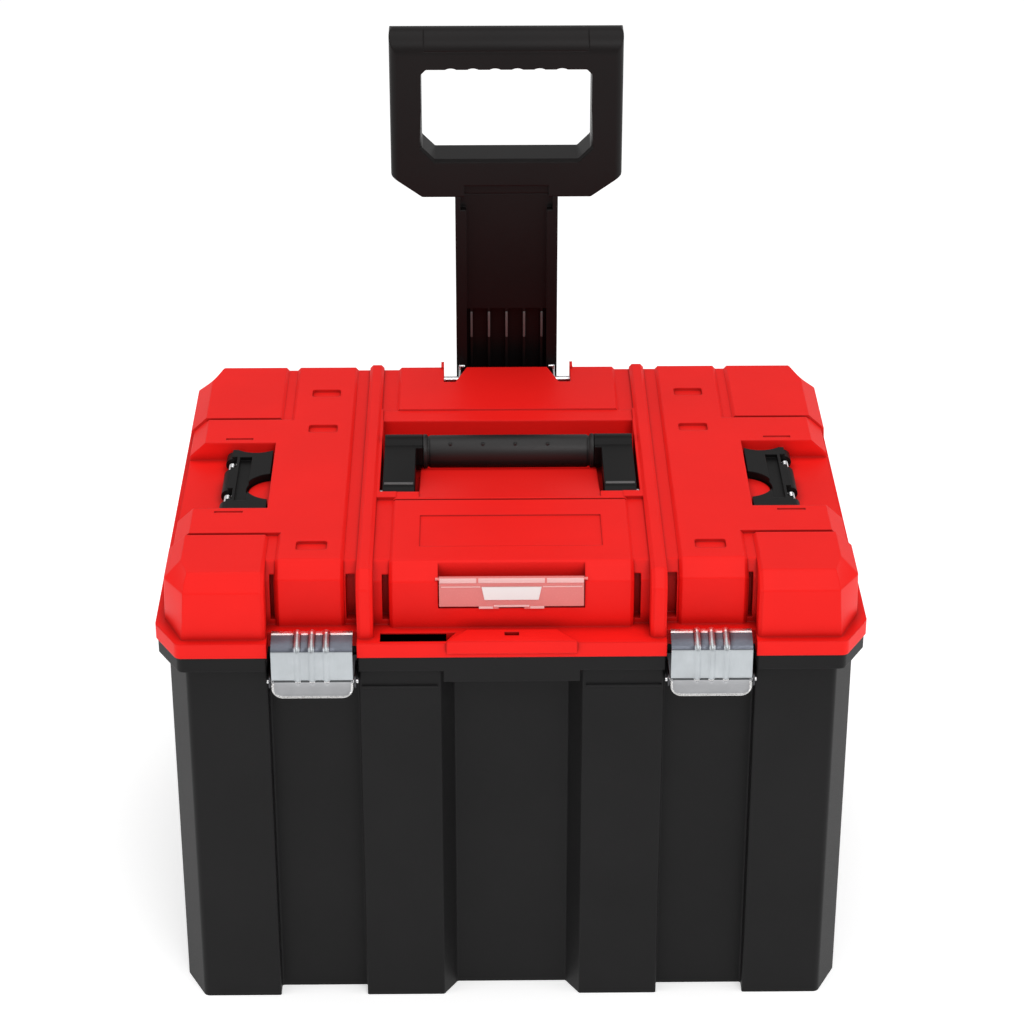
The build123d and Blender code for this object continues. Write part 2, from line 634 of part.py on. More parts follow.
def lid_cavity():
    """Hollow under the lid, less the walls round everything sunk into it."""
    inner = LID_WALL
    side_y = -RIM_Y + 6 + inner
    bay_y = -153.0
    bay_edge = BAY_CENTRE + BAY_HALF + inner
    plan = [
        (-LID_X + inner, side_y), (-bay_edge, side_y), (-bay_edge, bay_y), (bay_edge, bay_y),
        (bay_edge, side_y), (LID_X - inner, side_y), (LID_X - inner, LID_Y - inner), (-LID_X + inner, LID_Y - inner),
    ]
    hollow = prism_z(plan, TUB_HEIGHT - 1, LID_TOP - 5.5)
    hollow &= envelope(inner + SIDE_STEP, 2.5)
    # Follow the bevel along the front
    hollow -= prism_x([(-156, 336), (-136, 356), (-156, 356)], -bay_edge, bay_edge)
    hollow -= both(prism_x([(-177, 342), (-163, 356), (-177, 356)], bay_edge, LID_X))
    # Behind the rim's skirt
    skirt = prism_z(octagon(RIM_X - 4, RIM_Y - 4), TUB_HEIGHT - 1, LEDGE_Z - 3.5)
    skirt -= both(block(BAY_CENTRE - BAY_HALF - 4, BAY_CENTRE + BAY_HALF + 4, -RIM_Y, -163, 296, 312))
    skirt -= block(-49, 49, -RIM_Y, -165, 296, 312)
    hollow += skirt
    hollow -= carry_recess(3.0)
    hollow -= both(side_recess(3.4))
    for x0, x1 in CREVICES:
        hollow -= both(block(x0 - 3, x1 + 3, -170, CREVICE_BACK + 3, CREVICE_LOW - 3, 370))
    hollow -= block(-NOTCH_HALF - 3, NOTCH_HALF + 3, NOTCH_FRONT - 3, RIM_Y, NOTCH_FLOOR - 3, 370)
    hollow -= block(-98, 98, HINGE_Y - 8, RIM_Y, HINGE_Z - 8, 370)
    hollow -= block(-54, 54, LID_Y - 8, RIM_Y, TUB_HEIGHT, 370)
    for x in EAR_CENTRES:
        half = EAR_HALF + 4.5
        hollow -= both(block(x - half, x + half, EAR_FRONT - 3.5, RIM_Y, TUB_HEIGHT - 1, 370))
    hollow -= both(block(184, 216, HINGE_Y - 8, RIM_Y, HINGE_Z - 8, 370))
    # Stiffening ribs across the underside
    for x in (-137, 137):
        hollow -= block(x - 1.2, x + 1.2, -153, 172, LID_TOP - 16, LID_TOP)
    return hollow


def label_recess():
    """Shallow recess behind the label cover, following the bevel."""
    profile = [
        (-175, 325.5), (-157.5, 325.5), (-157.5, 344.6), (-152, 346), (-150.3, 358.5), (-150.3, 366), (-175, 366),
    ]
    return prism_x(profile, -51.6, 51.6)


def make_lid():
    lid = lid_outside() + make_rim()

    # Everything sunk into the top and front
    lid -= carry_recess(0)
    lid -= both(side_recess(0))
    lid -= block(-65, 65, -128, -81, LID_TOP - 1.2, 370)
    for x in (-141.3, 141.3):
        for y in (123.5, 61.0, -126.5):
            pocket = [(x - 11, y - 6.5), (x + 11, y - 6.5), (x + 11, y + 6.5), (x - 11, y + 6.5)]
            lid -= prism_z(pocket, LID_TOP - 2.2, 370, 2.5)
    for y in (43.5, -75.0):
        lid -= both(block(193.5, 214, y - 1.5, y + 1.5, LID_TOP - 1, 370))
    lid -= label_recess()
    lid -= both(block(BAY_CENTRE - 31.6, BAY_CENTRE + 31.6, -RIM_Y - 1, -166, 297, 316))
    for x0, x1 in CREVICES:
        lid -= both(block(x0, x1, -176, CREVICE_BACK, CREVICE_LOW, CREVICE_HIGH))

    # Notch for the post, with the tab that stands in front of it
    tab = [(-41, NOTCH_FRONT - 1), (41, NOTCH_FRONT - 1), (31.5, BACK_TOP_Y + 0.5), (-31.5, BACK_TOP_Y + 0.5)]
    notch = block(-NOTCH_HALF, NOTCH_HALF, NOTCH_FRONT, RIM_Y + 5, NOTCH_FLOOR, 372)
    lid -= notch - prism_z(tab, NOTCH_FLOOR, LID_TOP)
    lid += both(block(NOTCH_HALF, NOTCH_HALF + 2.2, 168, LID_Y - 0.5, 340, LID_TOP + 1.5))
    lid -= block(-52, 52, LID_Y, RIM_Y + 5, 290, 320)

    # Raised thumb rest under the scoop of each stacking latch
    rest = Pos(*SCOOP, (SIDE_FLOOR + 351) / 2) * Cylinder(SCOOP_R - 1.5, 351 - SIDE_FLOOR + 0.2)
    lid += both(rest & block(SIDE_RECESS_X - 0.5, SIDE_RECESS_X + 30, -60, 0, SIDE_FLOOR - 0.5, 352))

    # Hollow underside, hinge pockets and bores
    lid -= lid_cavity()
    lid -= both(rod_x(27.98, 45, 163, HINGE_Z + 4.5, 1.02))
    for x in EAR_CENTRES:
        lid -= both(ear_pocket(x))
    lid -= block(-RIM_X - 1, RIM_X + 1, 166, RIM_Y + 1, 297, TUB_HEIGHT + 2.6)
    lid -= rod_x(-95.05, 95.05, HINGE_Y, HINGE_Z, HINGE_ROD_R + 0.06)
    lid -= both(rod_x(186.95, 213.05, HINGE_Y, HINGE_Z, HINGE_ROD_R + 0.06))
    lid -= both(rod_x(90, 99, CARRY_PIVOT_Y, CARRY_PIVOT_Z, 3.02))
    y0, y1 = SIDE_RECESS
    lid -= both(rod_y(SIDE_PIVOT_X, y0 - 2.5, y1 + 2.5, SIDE_PIVOT_Z, 1.52))
    for side in (-1, 1):
        lid -= rod_x(side * 51, side * 54, LABEL_PIVOT_Y, LABEL_PIVOT_Z, 1.06)

    # Slot in the front ledge and the padlock slot through the tab
    slot = [(-92.5, -180), (-46, -180), (-39.3, -167.8), (-92.5, -167.8)]
    lid -= prism_z(slot, 290, 320)
    lid -= block(-92.5, -46, -169, -160.5, 297, LEDGE_Z - 1.2)
    lid -= block(-5, 5, -176.5, -171.5, 290, 320)
    return lid


def make_rod_clips():
    """Bent wire clips that reach over the hinge rod, one each side of the post."""
    x = 37.2
    y = 175.4
    low = HINGE_Z + 4.5
    clip = rod_x(28, x, 163, low, 1.0)
    clip += rod_y(x, 163, y, low, 1.0)
    clip += Pos(x, y, HINGE_Z + 4.6) * Cylinder(1.0, 8.4)
    clip += rod_x(33.4, x, y, HINGE_Z + 8.8, 1.0)
    for corner in ((x, 163, low), (x, y, low), (x, y, HINGE_Z + 8.8)):
        clip += Pos(*corner) * Sphere(1.0)
    return both(clip)


# ---- carry handle -------------------------------------------------------------------

def make_carry_frame():
    """Two arms joined by the core of the grip."""
    z0 = CARRY_PIVOT_Z - 7.5
    z1 = CARRY_PIVOT_Z + 7.0
    arm = block(CARRY_ARM_IN, CARRY_ARM_OUT, CARRY_PIVOT_Y, 50, z0, z1)
    arm += block(65.0, CARRY_ARM_OUT, 29, 50, z0, z1)
    arm += rod_x(CARRY_ARM_IN, CARRY_ARM_OUT, CARRY_PIVOT_Y, CARRY_PIVOT_Z - 0.25, 7.25)
    arm += rod_x(65.0, CARRY_ARM_OUT, CARRY_GRIP_Y, CARRY_GRIP_Z, 13.0)
    frame = both(arm) + rod_x(-66, 66, CARRY_GRIP_Y, CARRY_GRIP_Z, 8)
    frame -= both(rod_x(60, 100, CARRY_PIVOT_Y, CARRY_PIVOT_Z, 3.06))
    return frame


def make_carry_grip():
    """Soft sleeve moulded over the core, with a raised collar at each end."""
    sleeve = rod_x(-64.8, 64.8, CARRY_GRIP_Y, CARRY_GRIP_Z, 12.4)
    sleeve += both(rod_x(61.2, 64.8, CARRY_GRIP_Y, CARRY_GRIP_Z, 13.2))
    return sleeve - rod_x(-70, 70, CARRY_GRIP_Y, CARRY_GRIP_Z, 8)


def make_carry_pins():
    return both(rod_x(71, 98.5, CARRY_PIVOT_Y, CARRY_PIVOT_Z, 3.0))


# ---- stacking latches ---------------------------------------------------------------

def make_side_latch():
    """Right-hand stacking latch: knuckle at the outside, hook at the inside."""
    y0 = SIDE_RECESS[0] + 1
    y1 = 28.0
    top = 356.6
    latch = block(177.4, 204, y0, y1, 350.2, top)
    latch += rod_y(SIDE_PIVOT_X, y0, y1, SIDE_PIVOT_Z, 5) + block(200, SIDE_PIVOT_X, y0, y1, 350.2, 354.5)
    latch += block(177.4, 181.5, y0, y1, 345.0, 352)
    # Raised frame round the sunk panel, the thumb scoop and the waisted back edge
    latch += block(203, SIDE_PIVOT_X, y0, y1, 353.5, top)
    latch -= block(192.5, 201.5, -54, 16, 353.6, 360)
    latch -= Pos(*SCOOP, 350) * Cylinder(SCOOP_R, 30)
    latch -= Pos(190, y1 + 16, 350) * Cylinder(21, 30)
    for y in SPRING_Y:
        latch -= block(SIDE_PIVOT_X - 4, 220, y - 8.5, y + 8.5, 340, 362)
    latch -= rod_y(SIDE_PIVOT_X, y0 - 1, y1 + 1, SIDE_PIVOT_Z, 1.56)
    return latch


def make_side_pins():
    y0, y1 = SIDE_RECESS
    return both(rod_y(SIDE_PIVOT_X, y0 - 2, y1 + 2, SIDE_PIVOT_Z, 1.5))


def make_side_springs():
    """Torsion springs on the pins, as sleeves of their outer size."""
    springs = None
    for y in SPRING_Y:
        coil = rod_y(SIDE_PIVOT_X, y - 7.8, y + 7.8, SIDE_PIVOT_Z, 2.6)
        coil -= rod_y(SIDE_PIVOT_X, y - 8, y + 8, SIDE_PIVOT_Z, 1.8)
        springs = coil if springs is None else springs + coil
    return both(springs)


# ---- label cover --------------------------------------------------------------------

def make_label_flap():
    """Clear cover that hinges at its top edge."""
    front = -162.3
    flap = block(-50.8, 50.8, front, front + 1.6, 327.8, 346)
    flap += block(-50.8, 50.8, front, LABEL_PIVOT_Y + 0.6, 344.6, 350.6)
    flap += rod_x(-50.8, 50.8, LABEL_PIVOT_Y, LABEL_PIVOT_Z, 1.8)
    flap += both(rod_x(50, 53.4, LABEL_PIVOT_Y, LABEL_PIVOT_Z, 1.0))
    flap += both(block(9, 14, front, front + 1.6, 325.8, 328))
    return flap


def make_label_plate():
    """Blank plate on the middle of the cover."""
    corners = [(-21, 343.6), (21, 343.6), (19, 333.4), (-19, 333.4)]
    return prism_y(corners, -163.1, -162.3)


# ---- write every node ---------------------------------------------------------------

def main():
    os.makedirs("parts", exist_ok=True)

    save("tub", make_tub())
    save("handle_housing", make_housing())
    save("handle_guide", make_guide())
    save("housing_screws", make_housing_screws())
    save("detent_springs", make_detent_springs())
    save("hinge_rod", rod_x(-95, 95, HINGE_Y, HINGE_Z, HINGE_ROD_R))
    save("hinge_pins", both(rod_x(187, 213, HINGE_Y, HINGE_Z, HINGE_ROD_R)))
    save("axle_nuts", both(make_axle_nut()))
    save("wheel_washers", both(make_washer()))
    save("latch_rivets", both(make_latch_rivets()))
    save("latch_pins", both(make_latch_pin()))

    pairs = {
        "axle": make_axle(),
        "tyre": make_tyre(),
        "wheel_hub": make_hub(),
        "latch_bracket": make_latch_bracket(),
        "latch": make_latch(),
        "side_latch": make_side_latch(),
    }
    for name, shape in pairs.items():
        save(name + "_right", shape)
        save(name + "_left", left_of(shape))

    save("handle_post", make_post())
    save("handle_grip", make_grip())
    save("grip_insert", grip_insert_space(0))
    save("grip_screws", make_grip_screws())

    save("lid", make_lid())
    save("rod_clips", make_rod_clips())
    save("carry_handle_frame", make_carry_frame())
    save("carry_handle_grip", make_carry_grip())
    save("carry_handle_pins", make_carry_pins())
    save("side_latch_pins", make_side_pins())
    save("side_latch_springs", make_side_springs())
    save("label_flap", make_label_flap())
    save("label_plate", make_label_plate())


main()
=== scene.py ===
import math

import bmesh
import bpy
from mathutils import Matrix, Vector


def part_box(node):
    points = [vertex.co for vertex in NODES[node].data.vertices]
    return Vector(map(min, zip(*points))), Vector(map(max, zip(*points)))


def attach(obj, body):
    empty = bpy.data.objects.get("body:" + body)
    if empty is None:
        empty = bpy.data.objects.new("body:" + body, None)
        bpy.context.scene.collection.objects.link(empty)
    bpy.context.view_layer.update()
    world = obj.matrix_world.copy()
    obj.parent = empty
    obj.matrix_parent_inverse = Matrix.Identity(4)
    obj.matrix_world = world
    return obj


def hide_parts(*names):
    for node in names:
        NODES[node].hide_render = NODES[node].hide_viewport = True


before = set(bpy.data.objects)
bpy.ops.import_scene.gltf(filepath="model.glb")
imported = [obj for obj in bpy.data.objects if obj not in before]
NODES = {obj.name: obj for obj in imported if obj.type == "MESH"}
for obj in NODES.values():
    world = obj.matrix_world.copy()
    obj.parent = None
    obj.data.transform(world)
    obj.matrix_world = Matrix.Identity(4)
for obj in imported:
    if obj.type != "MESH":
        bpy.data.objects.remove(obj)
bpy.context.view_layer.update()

MM = 0.001                   # piece shapes below are in millimetres


def middle(node):
    """Centre of a CAD node's box, in millimetres."""
    low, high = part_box(node)
    return (Vector(low) + Vector(high)) / 2 / MM


# ---- materials ----------------------------------------------------------------------

def new_material(name, base, roughness, metallic=0.0, **sockets):
    """A Principled material with its plain values set on the shader's own sockets."""
    material = bpy.data.materials.new(name)
    material.use_nodes = True
    shader = material.node_tree.nodes["Principled BSDF"]
    shader.inputs["Base Color"].default_value = (*base, 1.0)
    shader.inputs["Roughness"].default_value = roughness
    shader.inputs["Metallic"].default_value = metallic
    for socket, value in sockets.items():
        shader.inputs[socket.replace("_", " ")].default_value = value
    return material, shader


def add(material, kind, **values):
    """Adds a node; a value whose name is an input is set on that input."""
    node = material.node_tree.nodes.new(kind)
    for key, value in values.items():
        if hasattr(node, key):
            setattr(node, key, value)
        else:
            node.inputs[key.replace("_", " ")].default_value = value
    return node


def link(material, source, output, target, socket):
    """Joins an output of one node to an input of another."""
    material.node_tree.links.new(source.outputs[output], target.inputs[socket])


def object_noise(material, scale, detail=3.0, roughness=0.5):
    """Noise in the object's own metres."""
    place = add(material, "ShaderNodeTexCoord")
    noise = add(material, "ShaderNodeTexNoise", Scale=scale, Detail=detail, Roughness=roughness)
    link(material, place, "Object", noise, "Vector")
    return noise


def mapped(material, source, low, high, out_low, out_high, output=0):
    """A source value moved from one range to another."""
    node = add(material, "ShaderNodeMapRange")
    node.inputs["From Min"].default_value = low
    node.inputs["From Max"].default_value = high
    node.inputs["To Min"].default_value = out_low
    node.inputs["To Max"].default_value = out_high
    link(material, source, output, node, "Value")
    return node


def tinted(material, shader, source, dark, light):
    """Base colour that runs from dark to light with a source value."""
    ramp = add(material, "ShaderNodeValToRGB")
    ramp.color_ramp.elements[0].color = (*dark, 1.0)
    ramp.color_ramp.elements[1].color = (*light, 1.0)
    link(material, source, 0, ramp, "Fac")
    link(material, ramp, "Color", shader, "Base Color")
    return ramp


def paint_crevice_shade(material, shader, least):
    """Paints shade into the base colour: multiplies it down to least where the surface is closely
    enclosed.
    """
    colour = shader.inputs["Base Color"].links[0].from_node
    enclosed = add(material, "ShaderNodeAmbientOcclusion", samples=8, Distance=0.011)
    shade_factor = mapped(material, enclosed, 0.25, 0.9, least, 1.0, output="AO")
    mix = add(material, "ShaderNodeMix", data_type="RGBA", blend_type="MULTIPLY")
    mix.inputs[0].default_value = 1.0
    link(material, colour, "Color", mix, 6)
    link(material, shade_factor, 0, mix, 7)
    link(material, mix, 2, shader, "Base Color")


def moulded_plastic(
    name, base, roughness, grain_size, grain_depth, spread, edge, gloss=0.3, crevice_shade=1.0,
):
    """Moulded plastic: fine grain, faint mottling, softened edges and painted shade in crevices.

    grain_size, grain_depth and edge are in metres. spread is how far the colour wanders and
    crevice how dark the painted shade gets where the surface is closely enclosed.
    """
    material, shader = new_material(name, base, roughness)
    shader.inputs["Specular IOR Level"].default_value = gloss
    cloud = object_noise(material, 14.0, 4.0)
    dark = [c * (1 - spread) for c in base]
    light = [min(1.0, c * (1 + spread)) for c in base]
    spread_out = mapped(material, cloud, 0.3, 0.7, 0.0, 1.0)
    tinted(material, shader, spread_out, dark, light)
    # Painted shade: the colour is darkened where the surface is closely enclosed.
    if crevice_shade < 1.0:
        paint_crevice_shade(material, shader, crevice_shade)
    fine = object_noise(material, 1.0 / grain_size, 2.0, 0.6)
    rough = mapped(material, fine, 0.3, 0.7, roughness - 0.06, roughness + 0.06)
    link(material, rough, 0, shader, "Roughness")
    soften = add(material, "ShaderNodeBevel", samples=6, Radius=edge)
    bump = add(material, "ShaderNodeBump", Strength=0.5, Distance=grain_depth)
    link(material, fine, 0, bump, "Height")
    link(material, soften, "Normal", bump, "Normal")
    link(material, bump, "Normal", shader, "Normal")
    return material


def metal(name, base, roughness, stretch, edge=0.0004):
    """Plated metal with a fine brushed grain; stretch squeezes the grain along each axis."""
    material, shader = new_material(name, base, roughness, 1.0)
    place = add(material, "ShaderNodeTexCoord")
    scale = add(material, "ShaderNodeMapping")
    scale.inputs["Scale"].default_value = stretch
    grain = add(material, "ShaderNodeTexNoise", Scale=900.0, Detail=3.0)
    link(material, place, "Object", scale, "Vector")
    link(material, scale, "Vector", grain, "Vector")
    rough = mapped(material, grain, 0.3, 0.7, roughness - 0.07, roughness + 0.1)
    link(material, rough, 0, shader, "Roughness")
    cloud = object_noise(material, 60.0, 3.0)
    shade = mapped(material, cloud, 0.3, 0.7, 0.0, 1.0)
    tinted(material, shader, shade, [c * 0.88 for c in base], base)
    soften = add(material, "ShaderNodeBevel", samples=6, Radius=edge)
    bump = add(material, "ShaderNodeBump", Strength=0.25, Distance=0.0001)
    link(material, grain, 0, bump, "Height")
    link(material, soften, "Normal", bump, "Normal")
    link(material, bump, "Normal", shader, "Normal")
    return material


# The red moulding's colour is darkened in crevices as painted shade.
RED = moulded_plastic(
    "red_moulding", (0.88, 0.013, 0.010), 0.45, grain_size=0.0006, grain_depth=0.00006,
    spread=0.03, edge=0.0016, gloss=0.11, crevice_shade=0.34,
)
BLACK = moulded_plastic(
    "black_moulding", (0.0065, 0.0062, 0.0065), 0.5, grain_size=0.0005, grain_depth=0.00008,
    spread=0.15, edge=0.0015, gloss=0.17,
)
DARK = moulded_plastic(
    "dark_fittings", (0.0052, 0.0048, 0.0048), 0.4, grain_size=0.0005, grain_depth=0.00005,
    spread=0.15, edge=0.0009, gloss=0.14,
)
HANDLE = moulded_plastic(
    "handle_moulding", (0.005, 0.0036, 0.0036), 0.4, grain_size=0.0005, grain_depth=0.00005,
    spread=0.15, edge=0.0015, gloss=0.17,
)
# Light grey with a strong gloss: a painted highlight on the rib noses and the arm bars.
EDGE_HIGHLIGHT = moulded_plastic(
    "edge_highlight", (0.085, 0.08, 0.08), 0.35, grain_size=0.0005, grain_depth=0.00004,
    spread=0.1, edge=0.0006, gloss=0.6,
)
RUBBER = moulded_plastic(
    "grip_rubber", (0.014, 0.013, 0.013), 0.45, grain_size=0.0008, grain_depth=0.00012,
    spread=0.1, edge=0.0012, gloss=0.35,
)
TYRE = moulded_plastic(
    "tyre_rubber", (0.012, 0.012, 0.012), 0.7, grain_size=0.001, grain_depth=0.00012,
    spread=0.1, edge=0.001,
)
WHITE = moulded_plastic(
    "white_plate", (0.85, 0.80, 0.79), 0.4, grain_size=0.0006, grain_depth=0.00003,
    spread=0.03, edge=0.0003,
)

PLAIN, ACROSS, UPRIGHT = (1.0, 1.0, 1.0), (0.3, 2.0, 2.0), (6.0, 1.0, 0.15)    # brushing
LATCH_FACE = metal("latch_plate", (0.48, 0.51, 0.53), 0.38, UPRIGHT)
# The curl's dark metal is a painted dark reflection.
LATCH_DARK_REFLECTION = metal("latch_curl_reflection", (0.14, 0.15, 0.18), 0.4, ACROSS)
LATCH_LIP = metal("latch_finger_lip", (0.47, 0.475, 0.49), 0.45, ACROSS)
# The edge's near-white metal is a painted highlight on the ribs, rims and cut edges.
LATCH_HIGHLIGHT = metal("latch_highlight", (0.93, 0.92, 0.91), 0.28, PLAIN)
# The bend's dark metal is painted shade under the bend.
LATCH_BEND_SHADE = metal("latch_bend_shade", (0.10, 0.105, 0.11), 0.5, ACROSS)
STEEL = metal("bright_steel", (0.80, 0.80, 0.81), 0.26, (0.3, 3.0, 3.0))
BLACK_STEEL = metal("black_steel", (0.08, 0.08, 0.085), 0.4, PLAIN)


def clear_material(name, tint, alpha):
    """Clear moulded cover with a soft gloss."""
    material, shader = new_material(name, tint, 0.2, 0.0, IOR=1.45)
    shader.inputs["Alpha"].default_value = alpha
    fine = object_noise(material, 900.0, 2.0)
    rough = mapped(material, fine, 0.3, 0.7, 0.16, 0.3)
    link(material, rough, 0, shader, "Roughness")
    cloud = object_noise(material, 120.0, 3.0)
    tinted(material, shader, cloud, [c * 0.95 for c in tint], tint)
    return material


CLEAR = clear_material("clear_cover", (1.0, 0.30, 0.28), 0.64)
CLEAR_EDGE = clear_material("clear_cover_edge", (1.0, 0.60, 0.58), 0.8)

CAD_MATERIALS = {
    BLACK: ("tub", "handle_housing"),
    DARK: (
        "handle_guide", "wheel_hub_left", "wheel_hub_right", "carry_handle_frame",
        "side_latch_left", "side_latch_right",
    ),
    HANDLE: ("handle_post", "handle_grip", "grip_insert"),
    RED: ("lid",),
    RUBBER: ("carry_handle_grip",),
    TYRE: ("tyre_left", "tyre_right"),
    CLEAR: ("label_flap",),
    WHITE: ("label_plate",),
    LATCH_FACE: ("latch_left", "latch_right"),
    BLACK_STEEL: ("housing_screws", "grip_screws", "latch_bracket_left", "latch_bracket_right"),
    STEEL: (
        "detent_springs", "hinge_rod", "hinge_pins", "rod_clips", "axle_left", "axle_right",
        "axle_nuts", "wheel_washers", "latch_rivets", "latch_pins", "carry_handle_pins",
        "side_latch_pins", "side_latch_springs",
    ),
}
for node_material, node_names in CAD_MATERIALS.items():
    for node_name in node_names:
        NODES[node_name].data.materials.clear()
        NODES[node_name].data.materials.append(node_material)


# ---- mesh helpers -------------------------------------------------------------------

def new_piece(name, build, body, materials, sharp=35.0):
    """Makes an object from a bmesh in millimetres, smooth shaded with sharp creases."""
    bmesh.ops.scale(build, vec=Vector((MM, MM, MM)), verts=build.verts)
    bmesh.ops.recalc_face_normals(build, faces=build.faces)
    mesh = bpy.data.meshes.new(name)
    build.to_mesh(mesh)
    build.free()
    for polygon in mesh.polygons:
        polygon.use_smooth = True
    mesh.set_sharp_from_angle(angle=math.radians(sharp))
    for material in materials:
        mesh.materials.append(material)
    piece = bpy.data.objects.new(name, mesh)
    bpy.context.scene.collection.objects.link(piece)
    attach(piece, body)
    return piece


def ring_of_verts(build, centre, across, upward, radius, sides):
    """A circle of vertices in the plane of two unit vectors."""
    ring = []
    for k in range(sides):
        angle = 2 * math.pi * k / sides
        offset = across * math.cos(angle) + upward * math.sin(angle)
        ring.append(build.verts.new(centre + offset * radius))
    return ring


def bridge(build, first, second, material_index=0):
    """Quads between two rings of the same length."""
    for k in range(len(first)):
        n = (k + 1) % len(first)
        face = build.faces.new((first[k], first[n], second[n], second[k]))
        face.material_index = material_index


def tube(build, path, radius, sides=12):
    """A capped tube along a list of points."""
    rings = []
    upward = Vector((0, 0, 1))
    for i, point in enumerate(path):
        ahead = path[min(i + 1, len(path) - 1)] - path[max(i - 1, 0)]
        ahead.normalize()
        across = ahead.cross(upward)
        if across.length < 0.05:
            across = ahead.cross(Vector((0, 1, 0)))
        across.normalize()
        upward = across.cross(ahead).normalized()
        rings.append(ring_of_verts(build, point, across, upward, radius, sides))
    for first, second in zip(rings, rings[1:]):
        bridge(build, first, second)
    build.faces.new(rings[0])
    build.faces.new(rings[-1])


def rounded_box(build, low, high, radius, segments=3):
    """A block with rounded edges, between two corners."""
    low, high = Vector(low), Vector(high)
    size = high - low
    centre = (low + high) / 2
    made = bmesh.ops.create_cube(build, size=1.0)
    for vert in made["verts"]:
        vert.co = vert.co * size + centre
    edges = list({edge for vert in made["verts"] for edge in vert.link_edges})
    bmesh.ops.bevel(
        build, geom=edges, offset=radius, segments=segments, profile=0.5, affect="EDGES",
    )


def lathe_x(build, profile, y, z, sides):
    """A ring turned about a line along X; profile is a closed list of (x, radius)."""
    across, upward = Vector((0, 1, 0)), Vector((0, 0, 1))
    rings = []
    for x, radius in profile:
        rings.append(ring_of_verts(build, Vector((x, y, z)), across, upward, radius, sides))
    for first, second in zip(rings, rings[1:] + rings[:1]):
        bridge(build, first, second)


# ---- stamped front latches ----------------------------------------------------------

LATCH_HALF = 28.6            # half the width of the plate
SHEET = 1.4                  # thickness of the sheet
RIBS = (-10.2, 0.0, 10.2)    # middles of the three stamped ribs
RIB_HALF = 2.9
RIB_HEIGHT = 1.5
LIP_TOP = 279.8              # the finger lip runs from here down to the plate's edge
LIP_CORNER = 8.0
RIM_WIDTH = 2.0              # rolled rim round the finger lip
RIM_HEIGHT = 0.5
EAR_RADIUS = 3.6
PIN_Y, PIN_Z, PIN_HOLE = -181.5, 279.0, 1.65

# The band, edge and bend zones paint light into the metal: a painted dark reflection on the curl, a
# painted highlight on the edges, rims and rib tops, and painted shade in the bend.
ZONES = ("face", "band", "lip", "edge", "bend")
LATCH_MATERIALS = [LATCH_FACE, LATCH_DARK_REFLECTION, LATCH_LIP, LATCH_HIGHLIGHT, LATCH_BEND_SHADE]

# Outer face of the plate from its top lip to its bottom edge: (y, z, zone)
LATCH_PROFILE = [
    (-169.0, 312.6, "edge"), (-171.4, 312.4, "edge"),
    (-173.2, 311.8, "band"), (-181.0, 309.6, "band"), (-184.8, 307.4, "band"),
    (-186.2, 305.4, "face"), (-186.4, 302.0, "face"),
    (-186.4, 292.0, "face"), (-186.4, 284.6, "face"),
    (-186.0, 282.4, "bend"), (-184.6, 281.2, "bend"),
    (-184.5, LIP_TOP, "lip"), (-185.2, 276.4, "lip"), (-186.0, 273.4, "lip"),
    (-186.7, 270.8, "lip"), (-187.2, 268.7, "lip"),
]


def split_profile(profile, parts=3):
    """The same profile with each run cut into a few equal parts."""
    dense = []
    for (y0, z0, zone), (y1, z1, _) in zip(profile, profile[1:]):
        for k in range(parts):
            t = k / parts
            dense.append((y0 + (y1 - y0) * t, z0 + (z1 - z0) * t, zone))
    dense.append(profile[-1])
    return dense


def rib_height(x, zone, z):
    """How far the three ribs stand out of the sheet; they run out in the finger lip."""
    reach = 1.0
    if zone == "lip":
        reach = max(0.0, 1.0 - (280.5 - z) / 2.6)
    height = 0.0
    for rib in RIBS:
        off = abs(x - rib) / (RIB_HALF * max(reach, 0.35))
        if off < 1:
            height = max(height, RIB_HEIGHT * reach * math.cos(off * math.pi / 2) ** 1.2)
    return height


def latch_columns():
    """X positions across the latch, close together at the ribs and rounded corners."""
    columns = {-LATCH_HALF, LATCH_HALF, -LATCH_HALF + 0.5, LATCH_HALF - 0.5}
    columns.update((-19.5, -16.5, 16.5, 19.5))
    for rib in RIBS:
        for k in range(-6, 7):
            columns.add(round(rib + k * 0.5, 3))
    start = LATCH_HALF - LIP_CORNER
    for k in range(9):
        angle = k * math.pi / 16
        for x in (start + LIP_CORNER * math.sin(angle), start + LIP_CORNER * (1 - math.cos(angle))):
            columns.add(round(x, 3))
            columns.add(round(-x, 3))
    ordered = sorted(columns)
    kept = [ordered[0]]
    for x in ordered[1:]:
        if x - kept[-1] > 0.12:
            kept.append(x)
    kept[-1] = LATCH_HALF
    return kept


def lip_bottom(x, bottom):
    """Height of the finger lip's edge at x, with its two rounded corners."""
    over = abs(x) - (LATCH_HALF - LIP_CORNER)
    if over <= 0:
        return bottom
    return bottom + LIP_CORNER - math.sqrt(max(0.0, LIP_CORNER ** 2 - over ** 2))


